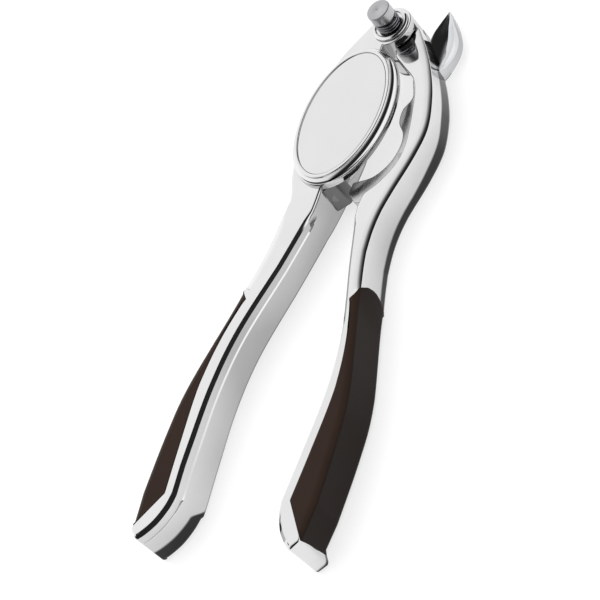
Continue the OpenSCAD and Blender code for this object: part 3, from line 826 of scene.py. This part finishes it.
def make_drum():
    """The oval body on the left arm, its bright rim and its flat face."""
    t = np.linspace(0, np.pi / 2, 9)
    wall = [(-1.2, DRUM_LOW), (-0.1, DRUM_LOW), (0.45, DRUM_LOW + 0.1), (0.75, DRUM_LOW + 0.4),
            (0.8, DRUM_LOW + 0.8)]
    shoulder = [(0.8 - 2.2 * (1 - math.cos(a)), DRUM_TOP - 1.8 + 2.2 * math.sin(a)) for a in t]
    body = piece("drum_casting", [oval_solid(
        wall + shoulder + [(-1.5, DRUM_TOP + 0.4), (-2.0, DRUM_TOP + 0.2), (-3.0, DRUM_TOP)])])
    finish_mesh(body)
    dress(body, "left", material("chrome"), ["drum_body"])
    ring = [(-0.75, DRUM_TOP + 0.25), (-0.75, BEZEL_TOP - 0.3), (-0.9, BEZEL_TOP - 0.08),
            (-1.1, BEZEL_TOP), (-1.6, BEZEL_TOP + 0.0), (-1.85, BEZEL_TOP - 0.06),
            (-2.0, BEZEL_TOP - 0.25), (-2.0, DRUM_TOP + 0.25)]
    bezel = finish_mesh(piece("drum_rim", [oval_ring(ring)]), 50)
    dress(bezel, "left", material("chrome"), ["drum_bezel"])
    top = BEZEL_TOP - 0.2
    plate = finish_mesh(piece("drum_face", [oval_solid(
        [(-2.1, DRUM_TOP), (-2.1, top - 0.2), (-2.16, top - 0.06), (-2.3, top),
         (-2.6, top), (-6.0, top)])]))
    dress(plate, "left", material("face"), ["drum_plate"])


def make_pivot():
    """The knob, the ring that it springs from and the cap behind the pivot."""
    knob_low, knob_top = bottom_of("push_knob"), top_of("push_knob")
    seat_top = top_of("seat_ring")
    knob = piece("push_knob_turned", [lathe(
        [(0, knob_low)] + rounded_profile(
            [(2.6, knob_low), (3.4, knob_low), (3.85, knob_low + 0.35), (3.85, knob_top - 0.3),
             (3.6, knob_top), (0.5, knob_top)], 0.25)
        + [(0.3, knob_top - 0.12), (0, knob_top - 0.2)])])
    finish_mesh(knob)
    dress(knob, "plunger", material("turned"), ["push_knob"])
    ring = piece("seat_ring_turned", [lathe(
        rounded_profile([(3.3, TAB_TOP), (6.0, TAB_TOP), (6.0, TAB_TOP + 0.45),
                         (5.4, seat_top), (4.9, seat_top), (4.6, seat_top - 0.45),
                         (3.3, seat_top - 0.45), (3.3, TAB_TOP)], 0.2))])
    finish_mesh(ring)
    dress(ring, "left", material("chrome"), ["seat_ring"])
    cap_top = top_of("rear_cap")
    cap = piece("rear_cap_pressed", [lathe(
        [(0, 0.0), (4.2, 0.0), (4.6, 0.04), (4.95, 0.2), (5.18, 0.5), (5.18, cap_top),
         (0, cap_top)])])
    finish_mesh(cap)
    dress(cap, "right", material("chrome"), ["rear_cap"])


COIL_R = 3.55


def spring_tree(name, mat):
    """Geometry Nodes: a helix of round wire from its turns, height, radius and wire size."""
    tree = bpy.data.node_groups.new(name, "GeometryNodeTree")
    for label, kind in (("Turns", "NodeSocketFloat"), ("Height", "NodeSocketFloat"),
                        ("Coil Radius", "NodeSocketFloat"), ("Wire Radius", "NodeSocketFloat")):
        tree.interface.new_socket(label, in_out="INPUT", socket_type=kind)
    tree.interface.new_socket("Geometry", in_out="OUTPUT", socket_type="NodeSocketGeometry")
    given = node(tree, "NodeGroupInput")
    helix = node(tree, "GeometryNodeCurveSpiral", {"Resolution": 48},
                 {"Rotations": (given, "Turns"), "Height": (given, "Height"),
                  "Start Radius": (given, "Coil Radius"), "End Radius": (given, "Coil Radius")})
    section = node(tree, "GeometryNodeCurvePrimitiveCircle", {"Resolution": 14},
                   {"Radius": (given, "Wire Radius")})
    wire = node(tree, "GeometryNodeCurveToMesh", {"Fill Caps": True},
                {"Curve": (helix, 0), "Profile Curve": (section, 0)})
    smooth = node(tree, "GeometryNodeSetShadeSmooth", {}, {0: (wire, 0)})
    real = node(tree, "GeometryNodeRealizeInstances", {}, {0: (smooth, 0)})
    painted = node(tree, "GeometryNodeSetMaterial", {"Material": mat}, {0: (real, 0)})
    out = node(tree, "NodeGroupOutput")
    tree.links.new(painted.outputs[0], out.inputs[0])
    return tree


def baked(name, tree, values):
    """An object with the plain mesh that a node tree makes from these inputs."""
    carrier = bpy.data.objects.new(name, bpy.data.meshes.new(name))
    bpy.context.scene.collection.objects.link(carrier)
    mod = carrier.modifiers.new("build", "NODES")
    mod.node_group = tree
    inputs = {s.name: s.identifier for s in tree.interface.items_tree if s.in_out == "INPUT"}
    for label, value in values.items():
        mod[inputs[label]] = value
    bake_modifiers(carrier)
    return carrier


def make_spring():
    """The coil between the seat ring and the knob."""
    size = bpy.context.scene.nutcracker_sizes
    low, high = bottom_of("knob_spring"), top_of("knob_spring")
    low_seat = low - 0.4
    wire = size.wire * 1000 / 2
    coil = baked("knob_spring_coil", spring_tree("coil spring", material("spring")), {
        "Turns": float(size.turns), "Height": (high - low_seat - 2 * wire) * MM,
        "Coil Radius": COIL_R * MM, "Wire Radius": wire * MM})
    for v in coil.data.vertices:
        v.co.z += (low_seat + wire) * MM
    finish_mesh(coil, 60)
    dress(coil, "left", material("spring"), ["knob_spring"])
    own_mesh(coil)


BITE = [(11, -17.6), (13.1, -24), (11.1, -28.2), (11.4, -33), (14.1, -37.2), (14.6, -42),
        (12.8, -47.6), (8.6, -52), (2.2, -53.8)]


def make_jaw():
    """The thin inner jaw with a bump and a tooth, held in the right arm."""
    blunt = (0.3, 0.3)
    jaw = plate("jaw_insert_ground", [
        (spline(BITE), 0.5, (0.25, 0.25)),
        ([(2.2, -53.8), (2, -57.6)], 0.4, blunt),
        ([(2, -57.6), (5.2, -61)], 0.4, blunt),
        ([(5.2, -61), (9.8, -60.6)], 0.4, blunt),
        (spline([(9.8, -60.6), (16.4, -52.6), (19.0, -46), (19.4, -39), (18.4, -31), (17, -24),
                 (13, -16.8)]), 0.4, blunt),
        ([(13, -16.8), (11, -17.6)], 0.3, blunt),
    ], bottom_of("jaw_insert"), top_of("jaw_insert"), steps=4)
    return dress(jaw, "right", material("jaw"), ["jaw_insert"])


CLAW_OUTER = [(10.6, 13.05), (13.6, 9), (16.3, 4.4), (17.9, 0.2), (18.0, -4.4), (16.4, -9.6),
              (13.6, -13.6)]
CLAW_INNER = [(10.4, 12.6), (9.2, 8.0), (7.9, 2.4), (7.5, -1.6), (7.7, -6), (8.8, -10.4),
              (10.6, -14)]


def make_claw():
    """A blade swept from its root to its point, hollow in front towards the arm and
    bevelled along its outer edge."""
    low, high = bottom_of("claw"), top_of("claw")
    across = [0.0, 0.05, 0.1, 0.2, 0.3, 0.36, 0.42, 0.5, 0.65, 0.8, 0.92, 0.97, 1.0]
    drop = [2.6, 1.2, 0.3, 0.08, 0.3, 1.6, 3.2, 3.1, 2.1, 1.2, 0.4, 0.3, 1.0]
    outer, inner = spline(CLAW_OUTER, 8), spline(CLAW_INNER, 8)
    rows = []
    for a, b in zip(outer, inner):
        width = min(1.0, np.hypot(*(a - b)) / 7.0)
        front = [(*lerp(a, b, t), high - d * width - (1 - width) * 1.6)
                 for t, d in zip(across, drop)]
        rear = [(*lerp(b, a, t), low + e * width + (1 - width) * 1.2)
                for t, e in zip((0.0, 0.06, 0.3, 0.7, 0.94, 1.0), (0.7, 0.15, 0, 0, 0.15, 0.7))]
        rows.append(np.array(front + rear))
    claw = finish_mesh(piece("claw_blade", [loft(rows)]), 38)
    return dress(claw, "right", material("claw"), ["claw"])


def make_stop():
    """The block that the tooth meets when the tool is closed."""
    corners = [(-9.4, -58.6), (-6, -58.2), (-2.4, -55.6), (-1.6, -52), (-9.4, -50.4)]
    block = plate("stop_block_ground", [([corners[k], corners[(k + 1) % 5]], 0.45, (0.5, 0.9))
                                        for k in range(5)],
                  bottom_of("stop_block"), top_of("stop_block"), steps=5)
    return dress(block, "left", material("block"), ["stop_block"])


PLAIN_NODES = {
    "satin": ["left_grip_pegs", "right_grip_pegs", "pivot_bush", "thrust_washer", "pivot_pin",
              "drum_screws", "jaw_rivets", "claw_screws"],
    "spring": ["retaining_clip"],
    "plug": ["stop_plug"],
}


def paint_plain_nodes():
    """CAD nodes whose shape is right keep it and take a finish."""
    for key, names in PLAIN_NODES.items():
        for name in names:
            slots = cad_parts[name].data.materials
            slots.clear()
            slots.append(material(key))


# ---- stage --------------------------------------------------------------------------------
def make_floor():
    """A wide sheet of pale paper just under the tool."""
    floor = piece("floor", [([(-3000, -3000, -0.3), (3000, -3000, -0.3), (3000, 3000, -0.3),
                              (-3000, 3000, -0.3)], [[0, 1, 2, 3]])])
    mat, tree, shader = new_material("pale paper")
    co = node(tree, "ShaderNodeTexCoord")
    tooth = node(tree, "ShaderNodeTexNoise", {"Scale": 900.0, "Detail": 2.0},
                 {"Vector": (co, "Object")})
    tint = node(tree, "ShaderNodeMix", {"data_type": "RGBA", 6: linear("#9a9a9a"),
                                        7: linear("#9e9e9e")}, {0: (tooth, 0)})
    tree.links.new(tint.outputs[2], shader.inputs["Base Color"])
    shader.inputs["Roughness"].default_value = 0.9
    shader.inputs["Emission Color"].default_value = (1, 1, 1, 1)
    shader.inputs["Emission Strength"].default_value = 0.72
    floor.data.materials.append(mat)


def make_world():
    """A white studio tent with one dark strip overhead, along the tool, and one low behind
    the handles. They draw the dark lines on the rounded edges of the chrome."""
    world = bpy.data.worlds.new("tent")
    bpy.context.scene.world = world
    world.use_nodes = True
    tree = world.node_tree
    tree.nodes.clear()
    co = node(tree, "ShaderNodeTexCoord")
    axes = node(tree, "ShaderNodeSeparateXYZ", {}, {0: (co, "Generated")})
    ramps = []
    for axis, stops in (("X", STRIP), ("Y", LOW_STRIP)):
        lean = node(tree, "ShaderNodeMath", {"operation": "ARCTAN2"},
                    {0: (axes, axis), 1: (axes, "Z")})
        share = node(tree, "ShaderNodeMapRange", {"From Min": math.radians(-90),
                                                  "From Max": math.radians(90)},
                     {"Value": (lean, 0)})
        ramps.append(node(tree, "ShaderNodeValToRGB", {
            "stops": [((degrees + 90) / 180, level) for degrees, level in stops]},
            {"Fac": (share, 0)}))
    both = node(tree, "ShaderNodeMix", {"data_type": "RGBA", "blend_type": "MULTIPLY", 0: 1.0},
                {6: (ramps[0], 0), 7: (ramps[1], 0)})
    back = node(tree, "ShaderNodeBackground", {"Strength": 1.3}, {"Color": (both, 2)})
    out = node(tree, "ShaderNodeOutputWorld")
    tree.links.new(back.outputs[0], out.inputs[0])


# Lean from straight up towards +X, in degrees, and how bright the tent is there
STRIP = ((-90, 1.0), (-48, 0.9), (-12, 0.75), (4, 0.12), (12, 0.015), (50, 0.02), (58, 0.8),
         (66, 1.0), (90, 1.0))
# The same towards +Y
LOW_STRIP = ((-90, 0.7), (-82, 0.06), (-60, 0.04), (-52, 1.0), (90, 1.0))


def make_lights():
    """One wide soft panel above. It lights the paper and the grips, and isn't itself seen
    in the chrome."""
    lamp = bpy.data.lights.new("soft_panel", "AREA")
    lamp.energy, lamp.size = 14.0, 1.6
    obj = bpy.data.objects.new("soft_panel", lamp)
    obj.location = (0.0, -0.08, 1.2)
    obj.visible_glossy = False
    bpy.context.scene.collection.objects.link(obj)


def make_camera():
    """Looks down on the drum's face from the right and below the handles, rolled so that
    the tool stands upright in its view."""
    size = bpy.context.scene.nutcracker_sizes
    data = bpy.data.cameras.new("camera")
    data.sensor_width = 36.0
    data.lens = size.lens
    data.clip_start, data.clip_end = 0.01, 20.0
    camera = bpy.data.objects.new("camera", data)
    right, up = Vector((0.80321, 0.30273, -0.51303)), Vector((0.00895, 0.85500, 0.51855))
    back = right.cross(up)
    turn = Matrix((right, up, back)).transposed()
    place = Vector((377.2, -362.0, 431.4 + DEPTH)) * MM
    camera.matrix_world = Matrix.Translation(place) @ turn.to_4x4()
    bpy.context.scene.collection.objects.link(camera)
    bpy.context.scene.camera = camera


# ---- add-on ---------------------------------------------------------------------------------
class NutcrackerFinish(bpy.types.PropertyGroup):
    """Colours and gloss of the main finishes."""
    grip_colour: FloatVectorProperty(
        name="Grip colour", description="Colour of the soft-touch grips", size=3,
        subtype="COLOR_GAMMA", default=(0.16, 0.12, 0.1), min=0, max=1)
    grip_roughness: FloatProperty(
        name="Grip roughness", description="How matt the grips are", default=0.42, min=0.1, max=1)
    chrome_roughness: FloatProperty(
        name="Chrome roughness", description="How much the buffing left in the plating",
        default=0.05, min=0.0, max=0.3)


class NutcrackerSizes(bpy.types.PropertyGroup):
    """Sizes that the frame doesn't set."""
    wire: FloatProperty(
        name="Spring wire", description="Thickness of the knob spring's wire", default=0.0007,
        min=0.0003, max=0.001, unit="LENGTH")
    turns: IntProperty(
        name="Spring turns", description="Turns of the knob spring", default=3, min=2, max=5)
    lens: FloatProperty(
        name="Lens", description="Focal length of the camera in millimetres", default=133.27,
        min=35, max=250)


class PieceOperator(bpy.types.Operator):
    """Shared by the operators that make pieces."""
    bl_options = {"REGISTER", "UNDO"}
    make = ()

    def execute(self, context):
        for step in type(self).make:
            step()
        return {"FINISHED"}


class NUTCRACKER_OT_arms(PieceOperator):
    """Make the two chromed castings"""
    bl_idname = "nutcracker.arms"
    bl_label = "Arms"
    make = (make_right_arm, make_left_arm)


class NUTCRACKER_OT_grips(PieceOperator):
    """Make the moulded grips"""
    bl_idname = "nutcracker.grips"
    bl_label = "Grips"
    make = (lambda: make_grip(1), lambda: make_grip(-1))


class NUTCRACKER_OT_drum(PieceOperator):
    """Make the oval drum, its rim and its face"""
    bl_idname = "nutcracker.drum"
    bl_label = "Drum"
    make = (make_drum,)


class NUTCRACKER_OT_pivot(PieceOperator):
    """Make the knob, seat ring and rear cap"""
    bl_idname = "nutcracker.pivot"
    bl_label = "Pivot"
    make = (make_pivot,)


class NUTCRACKER_OT_spring(PieceOperator):
    """Make the knob spring from a node tree"""
    bl_idname = "nutcracker.spring"
    bl_label = "Knob spring"
    make = (make_spring,)


class NUTCRACKER_OT_jaw(PieceOperator):
    """Make the toothed jaw insert and the stop block"""
    bl_idname = "nutcracker.jaw"
    bl_label = "Jaw and stop"
    make = (make_jaw, make_stop)


class NUTCRACKER_OT_claw(PieceOperator):
    """Make the claw behind the head"""
    bl_idname = "nutcracker.claw"
    bl_label = "Claw"
    make = (make_claw,)


class NUTCRACKER_OT_hardware(PieceOperator):
    """Give the pins, screws and washers their finish"""
    bl_idname = "nutcracker.hardware"
    bl_label = "Hardware"
    make = (paint_plain_nodes,)


class NUTCRACKER_OT_stage(PieceOperator):
    """Make the floor, the light and the camera"""
    bl_idname = "nutcracker.stage"
    bl_label = "Stage"
    make = (make_floor, make_world, make_lights, make_camera)


OPERATORS = (NUTCRACKER_OT_arms, NUTCRACKER_OT_grips, NUTCRACKER_OT_drum, NUTCRACKER_OT_pivot,
             NUTCRACKER_OT_spring, NUTCRACKER_OT_jaw, NUTCRACKER_OT_claw,
             NUTCRACKER_OT_hardware, NUTCRACKER_OT_stage)


class NUTCRACKER_PT_panel(bpy.types.Panel):
    """Lists the operators and the finish settings."""
    bl_label = "Nutcracker"
    bl_idname = "NUTCRACKER_PT_panel"
    bl_space_type = "VIEW_3D"
    bl_region_type = "UI"
    bl_category = "Nutcracker"

    def draw(self, context):
        layout = self.layout
        for name in ("grip_colour", "grip_roughness", "chrome_roughness"):
            layout.prop(context.scene.nutcracker_finish, name)
        for name in ("wire", "turns", "lens"):
            layout.prop(context.scene.nutcracker_sizes, name)
        for operator in OPERATORS:
            layout.operator(operator.bl_idname)


CLASSES = (NutcrackerFinish, NutcrackerSizes, *OPERATORS, NUTCRACKER_PT_panel)


def register():
    """Registers the classes and hangs the settings on the scene."""
    for cls in CLASSES:
        bpy.utils.register_class(cls)
    bpy.types.Scene.nutcracker_finish = PointerProperty(type=NutcrackerFinish)
    bpy.types.Scene.nutcracker_sizes = PointerProperty(type=NutcrackerSizes)


def unregister():
    """Takes the settings and the classes away again."""
    del bpy.types.Scene.nutcracker_sizes
    del bpy.types.Scene.nutcracker_finish
    for cls in reversed(CLASSES):
        bpy.utils.unregister_class(cls)


def main():
    """Runs every operator in turn."""
    register()
    bpy.context.scene.view_settings.view_transform = "Standard"
    for operator in OPERATORS:
        group, name = operator.bl_idname.split(".")
        getattr(getattr(bpy.ops, group), name)()


if __name__ == "__main__":
    main()
